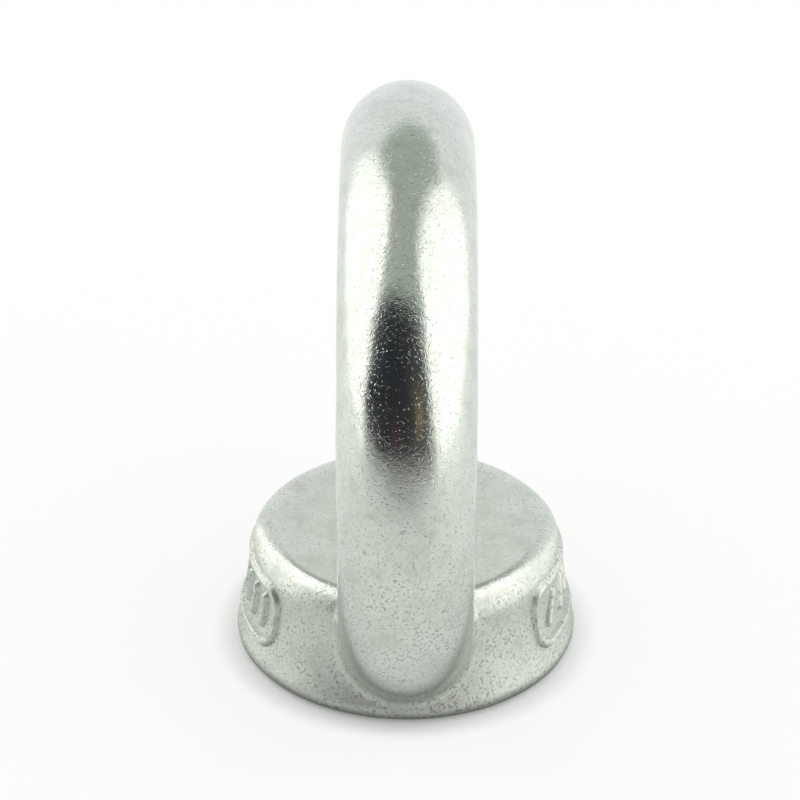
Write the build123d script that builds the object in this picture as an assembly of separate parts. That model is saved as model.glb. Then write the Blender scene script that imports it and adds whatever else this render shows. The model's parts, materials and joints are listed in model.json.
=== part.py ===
"""Lifting eye nut, M16: a round lifting ring cast in one piece with a flared, threaded foot.

Millimetres, +Z up. The origin is the centre of the seat, the flat underside of the foot.
The hole runs along Z, and the ring stands in the YZ plane, so its eye opens along X.
"""
from build123d import *
import os

# Driving sizes of the foot
foot_diameter = 35.0          # widest round of the foot, close above the seat
foot_height = 12.6            # from the seat to the flat land inside the eye
edge_rounding = 1.2           # convex round between the seat and the flare
flare_overhang = 1.85         # how far the foot stands out beyond its straight neck
neck_length = 1.15            # straight stretch between the flare and the rim rounding
rim_rounding = 1.6            # soft round between the neck and the land

# Driving sizes of the ring
eye_diameter = 35.5           # clear opening of the ring
bar_diameter = 13.1           # thickness of the round bar that forms the ring
eye_dip = 2.05                # how far the ring's inner circle dips below the land
junction_fillet = 1.0         # casting fillet where the ring leaves the flare and the neck

# Driving sizes of the threaded hole
thread_diameter = 16.0        # M16, nominal
thread_pitch = 2.0            # coarse pitch
mouth_clearance = 0.4         # how far the countersink at the seat opens beyond the thread
land_edge_break = 0.15        # edge broken where the hole meets the land

# Worked out from the driving sizes
neck_radius = foot_diameter / 2 - flare_overhang
flare_top_height = foot_height - rim_rounding - neck_length
bar_radius = bar_diameter / 2
ring_radius = (eye_diameter + bar_diameter) / 2               # of the bar's centre line
ring_centre_height = foot_height - eye_dip + eye_diameter / 2
hole_radius = (thread_diameter - 1.0825 * thread_pitch) / 2   # minor diameter of an ISO metric thread
mouth_radius = thread_diameter / 2 + mouth_clearance
mouth_depth = mouth_radius - hole_radius                      # a 45 degree countersink


def foot_profile():
    """Half section of the foot in the XZ plane: seat, edge round, flare, neck, rim round and land."""
    edge_centre = Vector(foot_diameter / 2 - edge_rounding, edge_rounding)
    reach = edge_centre.X - neck_radius
    rise = flare_top_height - edge_rounding
    # The flare is the arc that leaves the neck upright and touches the edge round from outside.
    flare_radius = (reach**2 + rise**2 - edge_rounding**2) / (2 * (reach + edge_rounding))
    flare_centre = Vector(neck_radius + flare_radius, flare_top_height)
    touch = edge_centre + (flare_centre - edge_centre).normalized() * edge_rounding
    edge_start = Vector(edge_centre.X, 0)
    neck_start = Vector(neck_radius, flare_top_height)
    neck_end = Vector(neck_radius, foot_height - rim_rounding)
    rim_end = Vector(neck_radius - rim_rounding, foot_height)
    with BuildSketch(Plane.XZ) as profile:
        with BuildLine():
            Line((0, 0), edge_start)
            TangentArc(edge_start, touch, tangent=(1, 0))
            TangentArc(neck_start, touch, tangent=(0, -1))
            Line(neck_start, neck_end)
            TangentArc(neck_end, rim_end, tangent=(0, 1))
            Line(rim_end, (0, foot_height))
            Line((0, foot_height), (0, 0))
        make_face()
    return profile.sketch


def foot():
    """The foot is turned about the axis of the hole."""
    return revolve(foot_profile(), Axis.Z)


def ring():
    """A round bar bent round the X axis; what would reach below the seat is cut away level with it."""
    section_plane = Plane(origin=(0, -ring_radius, 0), x_dir=(0, 1, 0), z_dir=(0, 0, 1))
    full_ring = revolve(section_plane * Circle(bar_radius), Axis.X)
    return split(Pos(0, 0, ring_centre_height) * full_ring, bisect_by=Plane.XY, keep=Keep.TOP)


def blank():
    """Foot and ring in one piece, with the casting fillet along the flare and the neck."""
    joined = foot() + ring()
    junction = joined.edges().filter_by(GeomType.BSPLINE).filter_by_position(
        Axis.Z, 0, foot_height - rim_rounding)
    return fillet(junction, junction_fillet)


def threaded_hole():
    """Through hole at the thread's minor diameter, countersunk at the seat, edge broken at the land."""
    upwards = (Align.CENTER, Align.CENTER, Align.MIN)
    downwards = (Align.CENTER, Align.CENTER, Align.MAX)
    hole = Cylinder(hole_radius, foot_height, align=upwards)
    countersink = Cone(mouth_radius, hole_radius, mouth_depth, align=upwards)
    edge_break = Cone(hole_radius, hole_radius + land_edge_break, land_edge_break, align=downwards)
    return hole + countersink + Pos(0, 0, foot_height) * edge_break


eye_nut = blank() - threaded_hole()

os.makedirs("parts", exist_ok=True)
export_step(eye_nut, "parts/eye_nut.step")
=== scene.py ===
import json
import math
import time
import bpy
import numpy as np
from mathutils import Matrix, Vector


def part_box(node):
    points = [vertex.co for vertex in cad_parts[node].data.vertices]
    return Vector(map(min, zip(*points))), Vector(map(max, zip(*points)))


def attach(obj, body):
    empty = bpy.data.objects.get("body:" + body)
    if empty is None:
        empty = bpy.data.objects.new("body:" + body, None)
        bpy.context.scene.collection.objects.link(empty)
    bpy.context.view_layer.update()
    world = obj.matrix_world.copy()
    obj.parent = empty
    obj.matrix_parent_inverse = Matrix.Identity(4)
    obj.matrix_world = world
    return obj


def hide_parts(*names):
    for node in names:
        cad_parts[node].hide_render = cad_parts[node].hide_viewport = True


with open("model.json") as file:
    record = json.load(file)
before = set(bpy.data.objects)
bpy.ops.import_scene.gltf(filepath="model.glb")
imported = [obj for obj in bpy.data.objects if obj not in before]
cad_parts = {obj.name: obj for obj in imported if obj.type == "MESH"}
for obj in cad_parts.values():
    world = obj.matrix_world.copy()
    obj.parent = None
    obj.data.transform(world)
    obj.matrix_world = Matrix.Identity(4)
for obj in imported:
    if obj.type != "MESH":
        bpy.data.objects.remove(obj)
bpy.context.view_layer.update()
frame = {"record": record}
started = time.time()
mm = 0.001
lowest, highest = (np.array(corner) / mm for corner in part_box("eye_nut"))
print("frame loaded, the nut measures", np.round(highest - lowest, 2), "mm")


# Turns an sRGB hex colour to linear: (c + 0.055) / 1.055 to the power 2.4, or c / 12.92 in the darkest part.
def hexColour(text):
    c = np.array([int(text[i:i + 2], 16) for i in (1, 3, 5)]) / 255
    linear = np.where(c <= 0.04045, c / 12.92, ((c + 0.055) / 1.055) ** 2.4)
    return (*map(float, linear), 1.0)


# Turns on the nodes of a material or world and clears them away.
def emptyTree(owner):
    owner.use_nodes = True
    owner.node_tree.nodes.clear()
    return owner.node_tree


# Adds a node to a tree: settings by property name, inputs by socket name or number.
# An input that is another node's socket is linked, anything else is set as the value.
def addNode(tree, kind, settings=None, inputs=None):
    node = tree.nodes.new(kind)
    for name, value in (settings or {}).items():
        setattr(node, name, value)
    for key, value in (inputs or {}).items():
        if isinstance(value, bpy.types.NodeSocket):
            tree.links.new(value, node.inputs[key])
        else:
            node.inputs[key].default_value = value
    return node


eased = {"interpolation_type": "SMOOTHSTEP"}      # for a Map Range node that eases in and out


# A step that eases in and out: t * t * (3 - 2 t), where t runs from 0 at low to 1 at high.
def smoothStep(low, high, value):
    t = np.clip((value - low) / (high - low), 0, 1)
    return t * t * (3 - 2 * t)


# Quads of a grid of rows by columns, counted row by row; a wrapped direction joins its end to its start.
def gridFaces(rows, columns, wrapRows=False, wrapColumns=False, first=0):
    i, j = np.meshgrid(np.arange(rows if wrapRows else rows - 1),
                       np.arange(columns if wrapColumns else columns - 1), indexing="ij")
    down, along = (i + 1) % rows, (j + 1) % columns
    quads = np.stack([i * columns + j, i * columns + along, down * columns + along, down * columns + j], -1)
    return first + quads.reshape(-1, 4)


# Makes a mesh object of points in millimetres and lists of faces.
def makePiece(name, points, faces, material=None, smooth=True):
    mesh = bpy.data.meshes.new(name)
    mesh.from_pydata((np.asarray(points) * mm).tolist(), [], [f for part in faces for f in part.tolist()])
    mesh.validate()
    mesh.polygons.foreach_set("use_smooth", [smooth] * len(mesh.polygons))
    if material:
        mesh.materials.append(material)
    piece = bpy.data.objects.new(name, mesh)
    bpy.context.scene.collection.objects.link(piece)
    return piece


# Swaps an object's mesh for what its modifiers make of it, and drops the modifiers.
def applyModifiers(piece):
    bpy.context.view_layer.update()
    graph = bpy.context.evaluated_depsgraph_get()
    result = bpy.data.meshes.new_from_object(piece.evaluated_get(graph))
    piece.modifiers.clear()
    piece.data = result
    return result


# The camera comes first: placed at a distance and an elevation from a point on the axis, it looks at the aim.
cameraView = {
    "distance": 311.87, "elevation": 30.343,      # mm and degrees, from the point on the axis
    "height": 25.0,                               # mm, of that point
    "aim": (-0.684, 0.0, 27.175),                 # mm
    "roll": 0.207,                                # degrees
    "lens": 139.69, "sensor": 36.0,               # mm
    "clip": (0.02, 20.0),                         # metres
}
cameraData = bpy.data.cameras.new("camera")
cameraData.lens, cameraData.sensor_width = cameraView["lens"], cameraView["sensor"]
cameraData.clip_start, cameraData.clip_end = cameraView["clip"]
camera = bpy.data.objects.new("camera", cameraData)
bpy.context.scene.collection.objects.link(camera)
rise = math.radians(cameraView["elevation"])
cameraPlace = Vector((0, -cameraView["distance"] * math.cos(rise),
                      cameraView["height"] + cameraView["distance"] * math.sin(rise)))
lookAlong = Vector(cameraView["aim"]) - cameraPlace
roll = Matrix.Rotation(math.radians(cameraView["roll"]), 3, "Z")
turn = lookAlong.to_track_quat("-Z", "Y").to_matrix() @ roll
camera.matrix_world = Matrix.Translation(cameraPlace * mm) @ turn.to_4x4()
bpy.context.scene.camera = camera


# Cast stainless steel, shot blasted and then tumbled: a greenish grey satin, softly peened,
# with short nicks in every direction, fine pits and duller skin where the media could not reach.
castSteel = {                                     # lengths in millimetres
    "noises": {                                   # size, detail and roughness of each
        "blotch": (3.0, 4.0, 0.75),               # patches of duller and brighter skin
        "fleck": (0.30, 2.0, 0.6),                # pits and specks, where it passes a level
        "peen": (0.5, 1.0, 0.4),                  # bumps left by the shot
        "grain": (0.13, 1.0, 0.5),                # the real one is finer: drawn as coarse as it needs to show
    },
    "dark": (0.36, "#C2C8BF"), "middle": (0.48, "#CDD3CA"), "light": (0.62, "#D4D9D1"),   # along the blotch
    "roughnessFrom": (0.35, 0.65), "roughness": (0.20, 0.13),                             # along it too
    "peenDepth": 0.014, "grainDepth": 0.008,
    "fleckColour": "#939990", "fleckShare": 0.75, "fleckDepth": 0.009,
    "fleckHeight": (20, 36), "fleckLevel": (0.77, 0.84),        # they thin out between the two heights
    "fleckCrowd": 0.38, "fleckEdge": (-0.04, 0.08),             # they gather on duller skin, soft edged
    "nickColour": "#A1A79E", "nickShare": 0.6, "nickDepth": 0.008,
    "nickCells": (1.0, 0.65, 0.4), "nickFilled": 0.55,          # cells, and the share that has a nick
    "nickWidth": (0.02, 0.025),                                 # a length, and a share of the cell on top
    "nickEnd": (0.2, 0.5),                                      # fades out between these shares of the cell
    "dentCell": 0.27, "dentRound": (0.03, 0.36), "dentDepth": 0.028,    # the round in shares of the cell
    "dentPower": 3.0,                                           # above one, few dents are deep
    # Duller skin on the flank, matt and a little oxidised skin on the land, and fewer flecks on the worn land
    # and rim: each fades in between its first two heights, out between the last two, and out with distance.
    "flankRoughness": 0.50, "flankHeights": (-2.0, -1.0, 11.7, 12.3), "flankReach": (17.9, 19.4),
    "landRoughness": 0.36, "landMetallic": 0.65,
    "landHeights": (12.1, 12.5, 12.8, 13.1), "landReach": (13.0, 13.6),
    "wornFlecks": 0.06, "wornHeights": (11.0, 12.0, 12.8, 13.1), "wornReach": (16.2, 17.0),
}


# Nicks: the steel is cut into cells, and each cell gets a thin slab through its centre, turned at random.
# The mask is one minus distance over width, eased, times an eased fade towards the end of the nick.
def nickMask(tree, place, cell):
    d = castSteel
    width = d["nickWidth"][0] + cell * d["nickWidth"][1]
    cells = addNode(tree, "ShaderNodeTexVoronoi", {"feature": "F1"}, {"Vector": place, "Scale": 1 / cell})
    offset = addNode(tree, "ShaderNodeVectorMath", {"operation": "SUBTRACT"},
                     {0: place, 1: cells.outputs["Position"]})
    centred = addNode(tree, "ShaderNodeVectorMath", {"operation": "SUBTRACT"},
                      {0: cells.outputs["Color"], 1: (0.5, 0.5, 0.5)})
    across = addNode(tree, "ShaderNodeVectorMath", {"operation": "NORMALIZE"}, {0: centred.outputs[0]})
    side = addNode(tree, "ShaderNodeVectorMath", {"operation": "DOT_PRODUCT"},
                   {0: offset.outputs[0], 1: across.outputs[0]})
    away = addNode(tree, "ShaderNodeMath", {"operation": "ABSOLUTE"}, {0: side.outputs["Value"]})
    line = addNode(tree, "ShaderNodeMapRange", eased,
                   {"Value": away.outputs[0], "From Min": 0.0, "From Max": width,
                    "To Min": 1.0, "To Max": 0.0})
    reach = addNode(tree, "ShaderNodeVectorMath", {"operation": "LENGTH"}, {0: offset.outputs[0]})
    end = addNode(tree, "ShaderNodeMapRange", eased,
                  {"Value": reach.outputs["Value"], "From Min": cell * d["nickEnd"][0],
                   "From Max": cell * d["nickEnd"][1], "To Min": 1.0, "To Max": 0.0})
    parts = addNode(tree, "ShaderNodeSeparateColor", {}, {"Color": cells.outputs["Color"]})
    filled = addNode(tree, "ShaderNodeMath", {"operation": "LESS_THAN"},
                     {0: parts.outputs["Red"], 1: d["nickFilled"]})
    both = addNode(tree, "ShaderNodeMath", {"operation": "MULTIPLY"}, {0: line.outputs[0], 1: end.outputs[0]})
    mask = addNode(tree, "ShaderNodeMath", {"operation": "MULTIPLY"},
                   {0: both.outputs[0], 1: filled.outputs[0]})
    return mask.outputs[0]


# A mask over height and distance from the nut's axis: an eased step up with height, times one down with
# height, times one down with distance.
def reachMask(tree, height, fromAxis, heights, reaches):
    mask = 1.0
    for value, (low, high), rises in ((height, heights[:2], True), (height, heights[2:], False),
                                      (fromAxis, reaches, False)):
        mask = addNode(tree, "ShaderNodeMapRange", eased,
                       {"Value": value, "From Min": low, "From Max": high,
                        "To Min": 0.0 if rises else mask, "To Max": mask if rises else 0.0}).outputs[0]
    return mask


# The cast skin: blotches set colour and roughness, flecks darken it where their noise passes a level, nicks
# where their mask says, and bumps of shot, grain, nicks, flecks and dents are added one on the other.
def makeCastSteel():
    d = castSteel
    material = bpy.data.materials.new("cast_stainless_blasted_tumbled")
    tree = emptyTree(material)
    place = addNode(tree, "ShaderNodeTexCoord")
    scaled = addNode(tree, "ShaderNodeMapping", {},
                     {"Vector": place.outputs["Object"], "Scale": (1 / mm,) * 3})
    where = scaled.outputs[0]                     # millimetres on the nut
    blotch, fleck, peen, grain = (
        addNode(tree, "ShaderNodeTexNoise", {},
                {"Vector": where, "Scale": 1 / size, "Detail": detail, "Roughness": roughness}).outputs["Fac"]
        for size, detail, roughness in d["noises"].values())

    dents = addNode(tree, "ShaderNodeTexVoronoi", {"feature": "F1"},
                    {"Vector": where, "Scale": 1 / d["dentCell"]})
    dentRound = addNode(tree, "ShaderNodeMapRange", eased,
                        {"Value": dents.outputs["Distance"], "From Min": d["dentRound"][0],
                         "From Max": d["dentRound"][1], "To Min": 1.0, "To Max": 0.0})
    dentParts = addNode(tree, "ShaderNodeSeparateColor", {}, {"Color": dents.outputs["Color"]})
    dentDeep = addNode(tree, "ShaderNodeMath", {"operation": "POWER"},
                       {0: dentParts.outputs["Green"], 1: d["dentPower"]})
    dent = addNode(tree, "ShaderNodeMath", {"operation": "MULTIPLY"},
                   {0: dentRound.outputs[0], 1: dentDeep.outputs[0]}).outputs[0]
    nick, *others = [nickMask(tree, where, cell) for cell in d["nickCells"]]
    for other in others:
        nick = addNode(tree, "ShaderNodeMath", {"operation": "MAXIMUM"}, {0: nick, 1: other}).outputs[0]

    parts = addNode(tree, "ShaderNodeSeparateXYZ", {}, {"Vector": where})
    height = parts.outputs["Z"]
    flat = addNode(tree, "ShaderNodeCombineXYZ", {}, {"X": parts.outputs["X"], "Y": parts.outputs["Y"]})
    fromAxis = addNode(tree, "ShaderNodeVectorMath", {"operation": "LENGTH"}, {0: flat.outputs[0]})
    onFlank, onLand, worn = (
        reachMask(tree, height, fromAxis.outputs["Value"], d[part + "Heights"], d[part + "Reach"])
        for part in ("flank", "land", "worn"))

    fewer = addNode(tree, "ShaderNodeMapRange", eased,
                    {"Value": height, "From Min": d["fleckHeight"][0], "From Max": d["fleckHeight"][1],
                     "To Min": d["fleckLevel"][0], "To Max": d["fleckLevel"][1]})
    fewer = addNode(tree, "ShaderNodeMath", {"operation": "MULTIPLY_ADD"},
                    {0: worn, 1: d["wornFlecks"], 2: fewer.outputs[0]})
    crowd = addNode(tree, "ShaderNodeMath", {"operation": "MULTIPLY_ADD"},
                    {0: blotch, 1: -d["fleckCrowd"], 2: fewer.outputs[0]})
    fleckEdge = addNode(tree, "ShaderNodeMath", {"operation": "SUBTRACT"}, {0: fleck, 1: crowd.outputs[0]})
    fleckMask = addNode(tree, "ShaderNodeMapRange", eased,
                        {"Value": fleckEdge.outputs[0], "From Min": d["fleckEdge"][0],
                         "From Max": d["fleckEdge"][1], "To Min": 0.0, "To Max": d["fleckShare"]}).outputs[0]

    ramp = addNode(tree, "ShaderNodeValToRGB", {}, {"Fac": blotch})
    stops = ramp.color_ramp.elements
    for stop, (position, shade) in zip(stops, (d["dark"], d["light"])):
        stop.position, stop.color = position, hexColour(shade)
    stops.new(d["middle"][0]).color = hexColour(d["middle"][1])
    flecked = addNode(tree, "ShaderNodeMix", {"data_type": "RGBA"},
                      {"Factor": fleckMask, 6: ramp.outputs["Color"], 7: hexColour(d["fleckColour"])})
    nickShade = addNode(tree, "ShaderNodeMath", {"operation": "MULTIPLY"}, {0: nick, 1: d["nickShare"]})
    colour = addNode(tree, "ShaderNodeMix", {"data_type": "RGBA"},
                     {"Factor": nickShade.outputs[0], 6: flecked.outputs[2], 7: hexColour(d["nickColour"])})
    rough = addNode(tree, "ShaderNodeMapRange", {},
                    {"Value": blotch, "From Min": d["roughnessFrom"][0], "From Max": d["roughnessFrom"][1],
                     "To Min": d["roughness"][0], "To Max": d["roughness"][1]})
    for mask, value in ((onFlank, d["flankRoughness"]), (onLand, d["landRoughness"])):
        rough = addNode(tree, "ShaderNodeMix", {}, {"Factor": mask, 2: rough.outputs[0], 3: value})
    metal = addNode(tree, "ShaderNodeMapRange", {},
                    {"Value": onLand, "To Min": 1.0, "To Max": d["landMetallic"]})

    bump = None
    for raised, depth, invert in ((peen, d["peenDepth"], False), (grain, d["grainDepth"], False),
                                  (nick, d["nickDepth"], True), (fleckMask, d["fleckDepth"], True),
                                  (dent, d["dentDepth"], True)):
        inputs = {"Height": raised, "Distance": depth * mm, "Strength": 1.0}
        if bump:
            inputs["Normal"] = bump.outputs["Normal"]
        bump = addNode(tree, "ShaderNodeBump", {"invert": invert}, inputs)
    shader = addNode(tree, "ShaderNodeBsdfPrincipled", {},
                     {"Base Color": colour.outputs[2], "Metallic": metal.outputs[0],
                      "Roughness": rough.outputs[0], "Normal": bump.outputs["Normal"]})
    addNode(tree, "ShaderNodeOutputMaterial", {}, {"Surface": shader.outputs[0]})
    return material


# Tapped thread: the same stainless steel freshly cut, brighter, with fine rings left by the tap.
tappedSteel = {                                   # lengths in millimetres
    "light": (0.55, "#CDD1CB"), "dark": (0.30, "#9DA39C"),      # along the rings' noise
    "ring": 0.24, "along": 5.0,                   # real rings are finer: drawn as coarse as they need to show
    "ringDepth": 0.004, "roughness": 0.24,
}


# The cut skin: a noise drawn out level round the hole sets its shade and its bumps.
def makeTappedSteel():
    d = tappedSteel
    material = bpy.data.materials.new("stainless_tapped_thread")
    tree = emptyTree(material)
    place = addNode(tree, "ShaderNodeTexCoord")
    along, up = (1 / (d[size] * mm) for size in ("along", "ring"))
    scaled = addNode(tree, "ShaderNodeMapping", {},
                     {"Vector": place.outputs["Object"], "Scale": (along, along, up)})
    rings = addNode(tree, "ShaderNodeTexNoise", {},
                    {"Vector": scaled.outputs[0], "Scale": 1.0, "Detail": 2.0})
    ramp = addNode(tree, "ShaderNodeValToRGB", {}, {"Fac": rings.outputs["Fac"]})
    for stop, (position, shade) in zip(ramp.color_ramp.elements, (d["dark"], d["light"])):
        stop.position, stop.color = position, hexColour(shade)
    bump = addNode(tree, "ShaderNodeBump", {},
                   {"Height": rings.outputs["Fac"], "Distance": d["ringDepth"] * mm, "Strength": 1.0})
    shader = addNode(tree, "ShaderNodeBsdfPrincipled", {},
                     {"Base Color": ramp.outputs["Color"], "Metallic": 1.0, "Roughness": d["roughness"],
                      "Normal": bump.outputs["Normal"]})
    addNode(tree, "ShaderNodeOutputMaterial", {}, {"Surface": shader.outputs[0]})
    return material


castSteelMaterial = makeCastSteel()
tappedSteelMaterial = makeTappedSteel()
print("camera and steels made")

# The nut's body
nut = {                                           # millimetres, as in the part's source
    "edgeRounding": 1.2, "flareOverhang": 1.85, "neckLength": 1.15, "rimRounding": 1.6,
    "footHeight": 12.6, "bar": 13.1,
    "fillet": 1.0, "landFillet": 0.3,             # between ring and flare, and between ring and land
    "filletChange": (2.2, 0.4),                   # below the land, where one passes into the other
    "rimOval": (4.0, 3.0), "rimStart": 0.452,     # half axes of the oval worn into the rim, angle at the land
    "rimFront": (-0.1, 0.55),                     # where the oval sets in and is full, cosine from the front
    "rimCrease": 0.04,                            # how softly the land turns into the rim
    "waves": 7, "waveSeed": 16,                   # gentle unevenness of the casting
    "waveDepth": 0.007, "waveLengths": (3.5, 10.0),
    "ringSteps": (220, 60), "ringStart": 0.4,     # points round ring and bar, and height of its level foot
    "footSteps": 160, "arcSteps": (10, 24, 12),   # points round the foot, and along edge, flare and rim
    "voxel": 0.36,                                # size of the mesh
    "evenings": 8, "evening": 0.5,                # rounds that even it out, and each one's share of the way
    "sharpFrom": 35,                              # degrees
}
footRadius = (highest[0] - lowest[0]) / 2
footHeight = nut["footHeight"]
edgeRounding = nut["edgeRounding"]
rimRounding = nut["rimRounding"]
barRadius = nut["bar"] / 2
ringRadius = (highest[1] - lowest[1]) / 2 - barRadius
ringHeight = highest[2] - (highest[1] - lowest[1]) / 2
neckRadius = footRadius - nut["flareOverhang"]
rimTurn = (neckRadius - rimRounding, footHeight - rimRounding)
flareTop = rimTurn[1] - nut["neckLength"]
edgeTurn = (footRadius - edgeRounding, edgeRounding)
flareReach, flareRise = edgeTurn[0] - neckRadius, flareTop - edgeTurn[1]
flareRadius = (flareReach ** 2 + flareRise ** 2 - edgeRounding ** 2) / (2 * (flareReach + edgeRounding))
flareTurn = (neckRadius + flareRadius, flareTop)
flareAngle = math.atan2(flareTurn[1] - edgeTurn[1], flareTurn[0] - edgeTurn[0])   # where edge and flare touch


# Signed distance to the ring: how far a point is from the bar's centre circle, less the bar's radius.
def ringField(p):
    fromCircle = np.hypot(p[:, 1], p[:, 2] - ringHeight) - ringRadius
    return np.hypot(fromCircle, p[:, 0]) - barRadius


# Signed distance to the foot above its seat, in its half section: the flare's hollow arc or the neck's line
# against the land, with the distance to a circle's centre less its radius at the edge and at the rim. In
# front the rim's circle grows into an oval that the land cuts: (length of the scaled offset - 1) times its
# half height. The cut is a smooth maximum: the larger, plus (s - difference) squared over 4 s where they
# differ by less than s.
def footField(p, leastOut=0.1):
    out, up = np.hypot(p[:, 0], p[:, 1]), p[:, 2]
    side = np.where(up < flareTop, flareRadius - np.hypot(out - flareTurn[0], up - flareTurn[1]),
                    out - neckRadius)
    front = smoothStep(*nut["rimFront"], -p[:, 1] / np.maximum(out, leastOut))
    wide, tall = (rimRounding + front * (half - rimRounding) for half in nut["rimOval"])
    turnUp = footHeight - tall * np.cos(front * nut["rimStart"])
    a, b = np.maximum(out - neckRadius + wide, 0), np.maximum(up - turnUp, 0)
    rim = (np.hypot(a / wide, b / tall) - 1) * tall
    field = np.where(up > turnUp, rim, side)
    land, soft = up - footHeight, nut["rimCrease"]
    field = np.maximum(field, land) + np.maximum(soft - np.abs(field - land), 0) ** 2 / (4 * soft) * front
    a, b = out - edgeTurn[0], up - edgeTurn[1]
    edge = (a > 0) & (b * math.cos(flareAngle) < a * math.sin(flareAngle))
    field[edge] = np.hypot(a, b)[edge] - edgeRounding
    return field


waveDraw = np.random.default_rng(nut["waveSeed"])
waveWays = waveDraw.normal(size=(nut["waves"], 3))
waveSpans = np.linalg.norm(waveWays, axis=1) * waveDraw.uniform(*nut["waveLengths"], nut["waves"])
waveWays *= 2 * math.pi / waveSpans[:, None]
waveStarts = waveDraw.uniform(0, 2 * math.pi, nut["waves"])


# Signed distance to the whole nut: the nearer of ring and foot, with a round fillet of radius r between them
# (r less the length of what both distances fall short of r), a sum of long, shallow sine waves over it,
# and all of it cut off level at the seat.
def nutField(p):
    ring, foot = ringField(p), footField(p)
    r = np.interp(p[:, 2], [footHeight - below for below in nut["filletChange"]],
                  [nut["fillet"], nut["landFillet"]])
    nearest = np.minimum(ring, foot)
    rounded = r - np.hypot(np.maximum(r - ring, 0), np.maximum(r - foot, 0))
    joined = np.where((ring < r) & (foot < r), np.minimum(rounded, nearest), nearest)
    joined = joined + nut["waveDepth"] * np.sin(p @ waveWays.T + waveStarts).sum(1)
    return np.maximum(joined, -p[:, 2])


# Slope of a field along each axis: its value a step ahead less its value a step back, over two steps.
def fieldSlope(field, p, step=0.01):
    offsets = np.eye(3) * step
    return np.stack([field(p + o) - field(p - o) for o in offsets], -1) / (2 * step)


# Moves points onto the field's zero surface by Newton steps: field times slope over the slope's square.
def ontoSurface(field, p, steps=3, leastSquare=0.2):
    for _ in range(steps):
        slope = fieldSlope(field, p)
        p = p - slope * (field(p) / np.maximum((slope ** 2).sum(1), leastSquare))[:, None]
    return p


# The ring as a tube: a circle of the bar's radius, carried round the ring's centre circle, level at its foot.
turnAround, turnAcross = np.meshgrid(
    *(np.linspace(0, 2 * math.pi, steps, endpoint=False) for steps in nut["ringSteps"]), indexing="ij")
barOut = ringRadius + barRadius * np.cos(turnAcross)
ringPoints = np.stack([barRadius * np.sin(turnAcross), barOut * np.sin(turnAround),
                       np.maximum(ringHeight + barOut * np.cos(turnAround), nut["ringStart"])],
                      -1).reshape(-1, 3)
ringFaces = gridFaces(*nut["ringSteps"], True, True)


# Points of an arc in the half section: its centre plus its radius times the cosine and the sine.
def sectionArc(centre, radius, angles):
    return np.stack([centre[0] + radius * np.cos(angles), centre[1] + radius * np.sin(angles)], -1)


# The foot as a turned profile: edge round, flare, neck and rim round, each point carried round the axis,
# with a fan of triangles for the seat and one for the land.
edgeSteps, flareSteps, rimSteps = nut["arcSteps"]
flareStart = math.atan2(edgeTurn[1] - flareTurn[1], edgeTurn[0] - flareTurn[0]) % (2 * math.pi)
profile = np.concatenate([
    sectionArc(edgeTurn, edgeRounding, np.linspace(-math.pi / 2, flareAngle, edgeSteps)),
    sectionArc(flareTurn, flareRadius, np.linspace(flareStart, math.pi, flareSteps)[1:]),
    sectionArc(rimTurn, rimRounding, np.linspace(0, math.pi / 2, rimSteps))])
steps = nut["footSteps"]
around = np.linspace(0, 2 * math.pi, steps, endpoint=False)
footPoints = np.stack([profile[:, :1] * np.cos(around), profile[:, :1] * np.sin(around),
                       np.repeat(profile[:, 1:], steps, axis=1)], -1).reshape(-1, 3)
count = len(footPoints)
spokes = np.arange(steps)
nextSpokes = (spokes + 1) % steps
footFaces = [gridFaces(len(profile), steps, False, True),
             np.stack([np.full(steps, count), nextSpokes, spokes], -1),
             np.stack([np.full(steps, count + 1), count - steps + spokes, count - steps + nextSpokes], -1)]
footPoints = np.concatenate([footPoints, [[0, 0, 0], [0, 0, footHeight]]])

# One skin round both: remeshed by voxels, evened out along its edges and drawn onto the field.
body = makePiece("eye_nut_body", np.concatenate([footPoints, ringPoints]),
                 footFaces + [ringFaces + len(footPoints)])
fuse = body.modifiers.new("fuse", "REMESH")
fuse.mode, fuse.voxel_size, fuse.adaptivity = "VOXEL", nut["voxel"] * mm, 0.0
skin = applyModifiers(body)
points = np.zeros(len(skin.vertices) * 3)
skin.vertices.foreach_get("co", points)
points = points.reshape(-1, 3) / mm
edges = np.zeros(len(skin.edges) * 2, int)
skin.edges.foreach_get("vertices", edges)
edges = edges.reshape(-1, 2)
here, there = np.concatenate([edges, edges[:, ::-1]]).T
neighbours = np.bincount(here, minlength=len(points))[:, None]
points = ontoSurface(nutField, points)
for _ in range(nut["evenings"]):
    middle = np.stack([np.bincount(here, points[there, k], len(points)) for k in range(3)], -1) / neighbours
    points = ontoSurface(nutField, points + nut["evening"] * (middle - points), steps=2)
skin.vertices.foreach_set("co", (points * mm).astype(np.float32).ravel())
skin.update()
print("body", len(skin.polygons), "quads,", round(time.time() - started, 1), "s")

# Generic raised marks on the two sides of the flank
reliefs = {                                       # millimetres
    "step": 0.16,                                 # size of the mesh
    "proud": 0.5, "sunk": 0.15,                   # of the flank, on a rib and between the ribs
    "crown": 0.18, "stroke": 0.68,                # half widths of a rib, at its top and at its foot
    "depth": 1.2,                                 # how far the buried side of the pad lies under the flank
    "span": 11.6, "low": 2.6, "high": 10.7,       # the pad, along the flank and up it
    "frame": (9.4, 6.7, 3.1, 1.6),                # outline: half length, middle height, half height, corner
    "leftRibs": [((u, 5.2), (u, 8.2)) for u in (-7.2, -4.8, -2.4, 0.0, 2.4, 4.8, 7.2)],
    "rightRibs": [((u - 0.9, 5.4), (u + 0.9, 8.0)) for u in (-6.4, -3.2, 0.0, 3.2, 6.4)],
}


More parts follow.
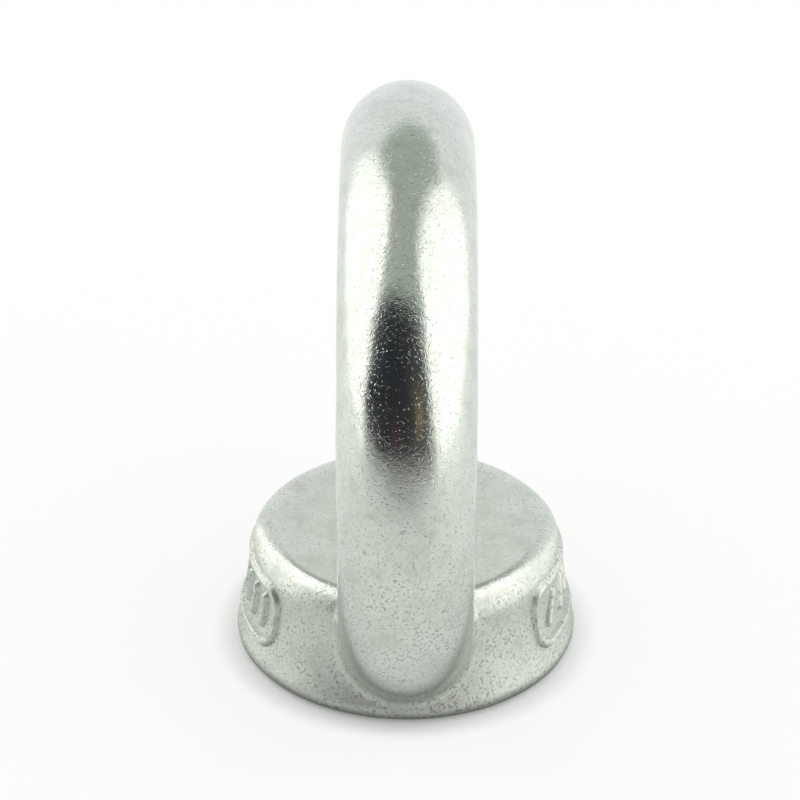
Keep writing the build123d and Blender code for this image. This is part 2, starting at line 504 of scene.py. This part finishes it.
# Distance from points of a plane to a straight stroke: the offset from its start, less the part along it
# held between its ends.
def strokeDistance(u, v, start, end):
    along = np.array(end) - start
    t = np.clip(((u - start[0]) * along[0] + (v - start[1]) * along[1]) / (along @ along), 0, 1)
    return np.hypot(u - start[0] - t * along[0], v - start[1] - t * along[1])


# Distance to the outline of a box with round corners: the length of what lies past the straight sides, or the
# nearer side's distance inside them, less the corner's radius.
def outlineDistance(u, v, halfLength, middleHeight, halfHeight, corner):
    a, b = np.abs(u) - halfLength + corner, np.abs(v - middleHeight) - halfHeight + corner
    box = np.hypot(np.maximum(a, 0), np.maximum(b, 0)) + np.minimum(np.maximum(a, b), 0) - corner
    return np.abs(box)


# Points of the flank at an angle round the axis and a height, moved along its outward normal: the flare's
# centre less the normal times the flare's radius, plus the normal times the move.
def flankPoints(angle, height, outward):
    down = np.minimum(height - flareTop, 0)
    towards = np.stack([np.sqrt(flareRadius ** 2 - down ** 2), -down], -1) / flareRadius      # the normal
    out = flareTurn[0] - towards[..., 0] * flareRadius + towards[..., 0] * outward
    return np.stack([out * np.cos(angle), out * np.sin(angle), height + towards[..., 1] * outward], -1)


# A pad that lies under the flank and comes out of it where its relief does: height falls from proud to
# sunk with an eased step of the distance to the nearest stroke.
def makeRelief(name, middle, strokes):
    d = reliefs
    u, v = np.meshgrid(np.arange(-d["span"], d["span"], d["step"]), np.arange(d["low"], d["high"], d["step"]),
                       indexing="ij")
    nearest = np.min([strokeDistance(u, v, *stroke) for stroke in strokes]
                     + [outlineDistance(u, v, *d["frame"])], 0)
    height = d["proud"] - (d["proud"] + d["sunk"]) * smoothStep(d["crown"], d["stroke"], nearest)
    angle = middle + u / neckRadius
    top, under = flankPoints(angle, v, height), flankPoints(angle, v, np.full(u.shape, -d["depth"]))
    rows, columns = u.shape
    size = rows * columns
    ring = np.concatenate([np.arange(columns), np.arange(1, rows - 1) * columns + columns - 1,
                           size - 1 - np.arange(columns), np.arange(rows - 2, 0, -1) * columns])
    nextOne = np.roll(ring, -1)
    faces = [gridFaces(rows, columns)[:, ::-1], gridFaces(rows, columns, first=size),
             np.stack([ring, nextOne, nextOne + size, ring + size], -1)]
    both = np.concatenate([top.reshape(-1, 3), under.reshape(-1, 3)])
    return makePiece(name, both, faces, castSteelMaterial)


pads = [makeRelief("relief_left", math.pi, reliefs["leftRibs"]),
        makeRelief("relief_right", 0.0, reliefs["rightRibs"])]

# The tapped hole
thread = {                                        # millimetres
    "major": 8.0, "pitch": 2.0,
    "root": 0.0625, "crest": 0.375,               # ends of a flank, shares of the pitch from a root's middle
    "lines": [0.0, 0.0625, 0.115, 0.1667, 0.2188, 0.271, 0.323, 0.375,    # of the mesh, shares of the pitch
              0.5, 0.625, 0.677, 0.729, 0.7812, 0.8333, 0.885, 0.9375],
    "turns": (-2, 8), "turnSteps": 96,            # the cutter runs past both ends of the hole
    "mouth": 0.4,                                 # countersink beyond the thread, at the seat
    "edgeBreak": 0.15,                            # at the land
    "fade": (9.6, 11.6),                          # the thread runs out below the land
    "shank": 1.2, "tips": 1.0,                    # the cutter past the thread, and its tips past its lines
}
hole = next(m for m in frame["record"]["mounts"] if m["name"] == "thread")
minorRadius = hole["dims"]["r_mm"]


# Cutter for the hole, on a grid of turns and of lines that climb with the helix. Its radius is the largest of
# three: the standard profile (flat root of an eighth of the pitch, 60 degree flanks, flat crest), the
# countersink's cone that narrows by as much as it rises, and the cone that breaks the edge at the land.
def makeTap():
    d = thread
    perPitch = len(d["lines"])
    lines = (np.array(d["lines"])[None, :] + np.arange(*d["turns"])[:, None]).ravel()
    turn, line = np.meshgrid(np.linspace(0, 1, d["turnSteps"], endpoint=False), lines, indexing="ij")
    height = d["pitch"] * (line + turn)
    fromRoot = np.abs((line + 0.5) % 1 - 0.5)
    deep = np.clip((d["crest"] - fromRoot) / (d["crest"] - d["root"]), 0, 1)
    deep = deep * (1 - smoothStep(*d["fade"], height))
    radius = minorRadius + (d["major"] - minorRadius) * deep
    radius = np.maximum(radius, d["major"] + d["mouth"] - height)
    radius = np.maximum(radius, minorRadius + d["edgeBreak"] - (footHeight - height))
    radius = np.clip(radius, 0, d["major"] + d["shank"])
    angle = 2 * math.pi * turn
    grid = np.stack([radius * np.cos(angle), radius * np.sin(angle), height], -1)
    columns = len(lines)
    last = (d["turnSteps"] - 1) * columns
    j = np.arange(columns - perPitch - 1)         # one turn on, a line meets the line a pitch higher
    seam = np.stack([last + j, last + j + 1, j + perPitch + 1, j + perPitch], -1)
    starts = np.arange(d["turnSteps"]) * columns
    low = np.concatenate([starts, np.arange(perPitch, 0, -1)])
    high = np.concatenate([starts + columns - 1, last + columns - 1 - np.arange(1, perPitch + 1)])
    total = grid.shape[0] * columns
    faces = [gridFaces(d["turnSteps"], columns)[:, ::-1], seam[:, ::-1],
             np.stack([np.full(len(low), total), np.roll(low, -1), low], -1),
             np.stack([np.full(len(high), total + 1), high, np.roll(high, -1)], -1)]
    tips = [[0, 0, d["pitch"] * lines[0] - d["tips"]], [0, 0, d["pitch"] * (lines[-1] + 1) + d["tips"]]]
    return makePiece("tap", np.concatenate([grid.reshape(-1, 3), tips]), faces, tappedSteelMaterial)


skin.materials.clear()
skin.materials.append(castSteelMaterial)
tap = makeTap()
for tool, operation in [(pad, "UNION") for pad in pads] + [(tap, "DIFFERENCE")]:
    join = body.modifiers.new("join", "BOOLEAN")
    join.operation, join.object, join.solver, join.material_mode = operation, tool, "EXACT", "TRANSFER"
    skin = applyModifiers(body)
    bpy.data.objects.remove(tool)
    print(operation.lower(), len(skin.polygons), "faces,", round(time.time() - started, 1), "s")
skin.polygons.foreach_set("use_smooth", [True] * len(skin.polygons))
skin.set_sharp_from_angle(angle=math.radians(nut["sharpFrom"]))
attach(body, "root")
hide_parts("eye_nut")

# Floor, painted reflection cards and lamps of the studio
studio = {                                        # metres
    "floorSize": 3.0, "floorColour": "#F3F4F2",
    "floorWhite": 0.73,        # share of plain white in the floor as seen; the rest has the shadow
    "contact": (0.0178, 0.0205), "contactWhite": 0.1,     # from the axis, where the edge's shadow ends
    "farWhite": (0.15, 0.40),  # from the axis, where the floor passes into plain white
    "world": 0.85,             # level of the light on matt surfaces; metal and camera see plain white
    "lampSide": 0.42, "lampHeight": (0.005, 0.91), "lampExtra": 0.75,
    "leftLamp": (-0.161, 0.450), "rightLamp": (-0.392, 0.340),          # from front to back
}


# A softbox as a lamp: its watts are pi times its area times the radiance it should have.
def addLamp(name, side, reach):
    d = studio
    low, high = d["lampHeight"]
    data = bpy.data.lights.new(name, "AREA")
    data.shape, data.size, data.size_y = "RECTANGLE", reach[1] - reach[0], high - low
    data.energy = d["lampExtra"] * math.pi * data.size * data.size_y
    lamp = bpy.data.objects.new(name, data)
    lamp.location = (side * d["lampSide"], (reach[0] + reach[1]) / 2, (low + high) / 2)
    lamp.rotation_euler = (math.radians(90), 0, math.radians(90 * side))
    lamp.visible_glossy = False
    bpy.context.scene.collection.objects.link(lamp)


addLamp("softboxLeft", -1, studio["leftLamp"])
addLamp("softboxRight", 1, studio["rightLamp"])


# One where camera, metal or glass looks, and nothing for light on matt surfaces: the largest of the light
# path's camera, glossy and transmission rays.
def lookedAt(tree):
    path = addNode(tree, "ShaderNodeLightPath")
    seen = path.outputs["Is Camera Ray"]
    for kind in ("Is Glossy Ray", "Is Transmission Ray"):
        larger = addNode(tree, "ShaderNodeMath", {"operation": "MAXIMUM"}, {0: seen, 1: path.outputs[kind]})
        seen = larger.outputs[0]
    return seen


world = bpy.data.worlds.new("studio")
bpy.context.scene.world = world
tree = emptyTree(world)
level = addNode(tree, "ShaderNodeMapRange", {},
                {"Value": lookedAt(tree), "To Min": studio["world"], "To Max": 1.0})
background = addNode(tree, "ShaderNodeBackground", {}, {"Color": (1, 1, 1, 1), "Strength": level.outputs[0]})
addNode(tree, "ShaderNodeOutputWorld", {}, {"Surface": background.outputs[0]})

# A roll of matt white paper, which scatters light evenly
floorMaterial = bpy.data.materials.new("white_paper_sweep")
tree = emptyTree(floorMaterial)
paper = addNode(tree, "ShaderNodeBsdfDiffuse", {}, {"Color": hexColour(studio["floorColour"])})
white = addNode(tree, "ShaderNodeEmission", {}, {"Color": (1, 1, 1, 1), "Strength": 1.0})
place = addNode(tree, "ShaderNodeTexCoord")
fromNut = addNode(tree, "ShaderNodeVectorMath", {"operation": "LENGTH"}, {0: place.outputs["Object"]})
lit = studio["contactWhite"]
for (near, far), whiteShare in ((studio["contact"], studio["floorWhite"]), (studio["farWhite"], 1.0)):
    lit = addNode(tree, "ShaderNodeMapRange", eased,
                  {"Value": fromNut.outputs["Value"], "From Min": near, "From Max": far,
                   "To Min": lit, "To Max": whiteShare}).outputs[0]
share = addNode(tree, "ShaderNodeMath", {"operation": "MULTIPLY"}, {0: lookedAt(tree), 1: lit})
sweep = addNode(tree, "ShaderNodeMixShader", {},
                {"Fac": share.outputs[0], 1: paper.outputs[0], 2: white.outputs[0]})
addNode(tree, "ShaderNodeOutputMaterial", {}, {"Surface": sweep.outputs[0]})
half = studio["floorSize"] / mm
floor = makePiece("floor", [[-half, -half, 0], [half, -half, 0], [half, half, 0], [-half, half, 0]],
                  [np.array([[0, 1, 2, 3]])], floorMaterial, smooth=False)

# Painted reflections: glowing cards that only metal sees and that light nothing, a dome painted with the two
# softboxes, the dark room round the camera and the grey ceiling, and the floor painted in its lighter and
# darker parts. Each is a grid that keeps its painted brightness per point.
paintedReflectionMaterial = bpy.data.materials.new("painted_reflection_card")
tree = emptyTree(paintedReflectionMaterial)
tint = addNode(tree, "ShaderNodeAttribute", {"attribute_name": "tint"})
glow = addNode(tree, "ShaderNodeEmission", {}, {"Color": tint.outputs["Color"], "Strength": 1.0})
addNode(tree, "ShaderNodeOutputMaterial", {}, {"Surface": glow.outputs[0]})


# A painted reflection card: a grid of points in metres, with a linear colour at each, seen only by metal.
def makePaintedReflection(name, points, colours):
    rows, columns = points.shape[:2]
    card = makePiece(name, points.reshape(-1, 3) / mm, [gridFaces(rows, columns)], paintedReflectionMaterial)
    layer = card.data.color_attributes.new("tint", "FLOAT_COLOR", "POINT")
    colours = np.concatenate([colours.reshape(-1, 3), np.ones((rows * columns, 1))], -1)
    layer.data.foreach_set("color", colours.astype(np.float32).ravel())
    card.visible_camera = card.visible_diffuse = card.visible_shadow = card.visible_transmission = False
    card.visible_volume_scatter = False


# A window with round corners on the dome, in degrees from its middle: one inside, easing to nothing across
# the edge where (|a / half width| ^ n + |e / top| ^ n) ^ (1 / n) passes through soft.
def domeWindow(az, el, middle, half, top, power, soft):
    a, e = np.abs(az - middle) / half, np.maximum(el, 0) / top
    return (1 - smoothStep(*soft, (a ** power + e ** power) ** (1 / power)))[..., None]


# A soft spot on the dome: e to the power of minus the squares of both offsets over their widths.
def domeSpot(az, el, middleAz, middleEl, wide, tall):
    return np.exp(-((az - middleAz) / wide) ** 2 - ((el - middleEl) / tall) ** 2)[..., None]


# One colour passing into another: the first plus a share of the difference.
def blend(first, second, share):
    return np.array(first) + share * (np.array(second) - first)


# The painted reflection dome: distance times the cosines and sines of azimuth (0 in front, right is positive)
# and elevation.
dome = {                                          # metres and degrees, linear colours painted into the reflection
    "reach": 0.5, "centre": 0.035, "lowest": -4, "steps": (241, 118),
    "wall": (0.99, 1.01, 1.03), "ceiling": (0.49, 0.53, 0.49), "ceilingFrom": (35.5, 41.0),
    "softbox": (1.80, 1.78, 1.73),
    # windows: middle azimuth, half width, top, power of the round corners and where the edge fades
    "left": (-104, 35, 66, 5, (0.86, 1.07)), "right": (83, 44.5, 74, 5, (0.84, 1.08)),
    "room": (-14.5, 58, 62, 3, (0.87, 1.03)), "roomDark": (0.028, 0.031, 0.038),
    "foot": (0.42, 0.42, 0.40), "footTo": (-2.5, 5),      # where the room meets the floor
    "glows": [                                    # things in the room painted into the reflection: azimuth, elevation, widths, brightness
        (-58, 34, 12, 20, (0.018, 0.026, 0.030)), (14, 34, 14, 13, (0.045, 0.040, 0.032)),
        (21, 19, 5.5, 5, (0.46, 0.30, 0.14)), (-16, 12, 7, 4.5, (0.11, 0.022, 0.026)),
        (12, 10, 16, 5, (0.05, 0.044, 0.042)), (34, 24, 8, 22, (0.025, 0.022, 0.02)),
        (-64, -1, 13, 5, (0.27, 0.28, 0.27)), (37, 7, 6, 6, (0.28, 0.28, 0.27))],
    "stand": (43, -2, 9, 13), "standDark": 0.6,   # a dark spot painted into the reflection beside the right softbox
}
azimuth, elevation = np.meshgrid(np.radians(np.linspace(-180, 180, dome["steps"][0])),
                                 np.radians(np.linspace(dome["lowest"], 90, dome["steps"][1])), indexing="ij")
domePoints = np.stack([np.cos(elevation) * np.sin(azimuth), -np.cos(elevation) * np.cos(azimuth),
                       np.sin(elevation)], -1) * dome["reach"] + [0, 0, dome["centre"]]
az, el = np.degrees(azimuth), np.degrees(elevation)
# Painted reflection: the dark room and what is in it, then the wall, ceiling and softboxes painted over it.
room = blend(dome["roomDark"], dome["foot"], (1 - smoothStep(*dome["footTo"], el))[..., None])
for *spot, brightness in dome["glows"]:
    room = room + domeSpot(az, el, *spot) * np.array(brightness)
light = blend(dome["wall"], dome["ceiling"], smoothStep(*dome["ceilingFrom"], el)[..., None])
for part, inside in (("left", dome["softbox"]), ("right", dome["softbox"]), ("room", room)):
    light = blend(light, inside, domeWindow(az, el, *dome[part]))
# a dark spot painted over the reflection beside the right softbox
light = light * (1 - dome["standDark"] * domeSpot(az, el, *dome["stand"]))
makePaintedReflection("painted_studio_reflection", domePoints, light)

# The floor's painted reflection, as metal sees it: a painted shadow where the edge shades it, painted
# brighter beside the softboxes and behind, painted darker away in front. Its points are out times the sine
# and cosine of the turn.
floorReflection = {                                     # metres from the axis, degrees from the front
    "near": 1.0, "rise": (0.01, 0.24),
    "swells": [(-105, 28, 0.28), (88, 46, 0.25), (0, 45, -0.43), (-52, 16, -0.12)],   # painted lighter and darker parts: middle, width, height
    "contact": [(0.6, 0.0025), (0.22, 0.018)],    # depth of the painted shadow and how soon it ends
    "tint": (0.98, 1.0, 0.985),
    "around": 121, "close": (0.0165, 0.03, 28), "far": (0.031, 0.52, 40),           # points round and out
    "above": 0.0001,                              # the floor
}
turn, out = np.meshgrid(np.linspace(-180, 180, floorReflection["around"]),
                        np.concatenate([np.linspace(*floorReflection["close"]), np.geomspace(*floorReflection["far"])]),
                        indexing="ij")
floorPoints = np.stack([out * np.sin(np.radians(turn)), -out * np.cos(np.radians(turn)),
                        np.full(out.shape, floorReflection["above"])], -1)
# painted lighter and darker by direction from the nut
swell = sum(high * np.exp(-((turn - middle) / wide) ** 2) for middle, wide, high in floorReflection["swells"])
shade = floorReflection["near"] + smoothStep(*floorReflection["rise"], out) * swell
fromEdge = np.maximum(out - footRadius * mm, 0)
# painted shadow of the foot's edge on the reflected floor
shade = shade * (1 - sum(deep * np.exp(-fromEdge / wide) for deep, wide in floorReflection["contact"]))
makePaintedReflection("painted_floor_reflection", floorPoints, shade[..., None] * np.array(floorReflection["tint"]))
print("studio built")

bpy.context.scene.view_settings.view_transform = "Standard"
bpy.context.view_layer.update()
print("finished after", round(time.time() - started, 1), "s")
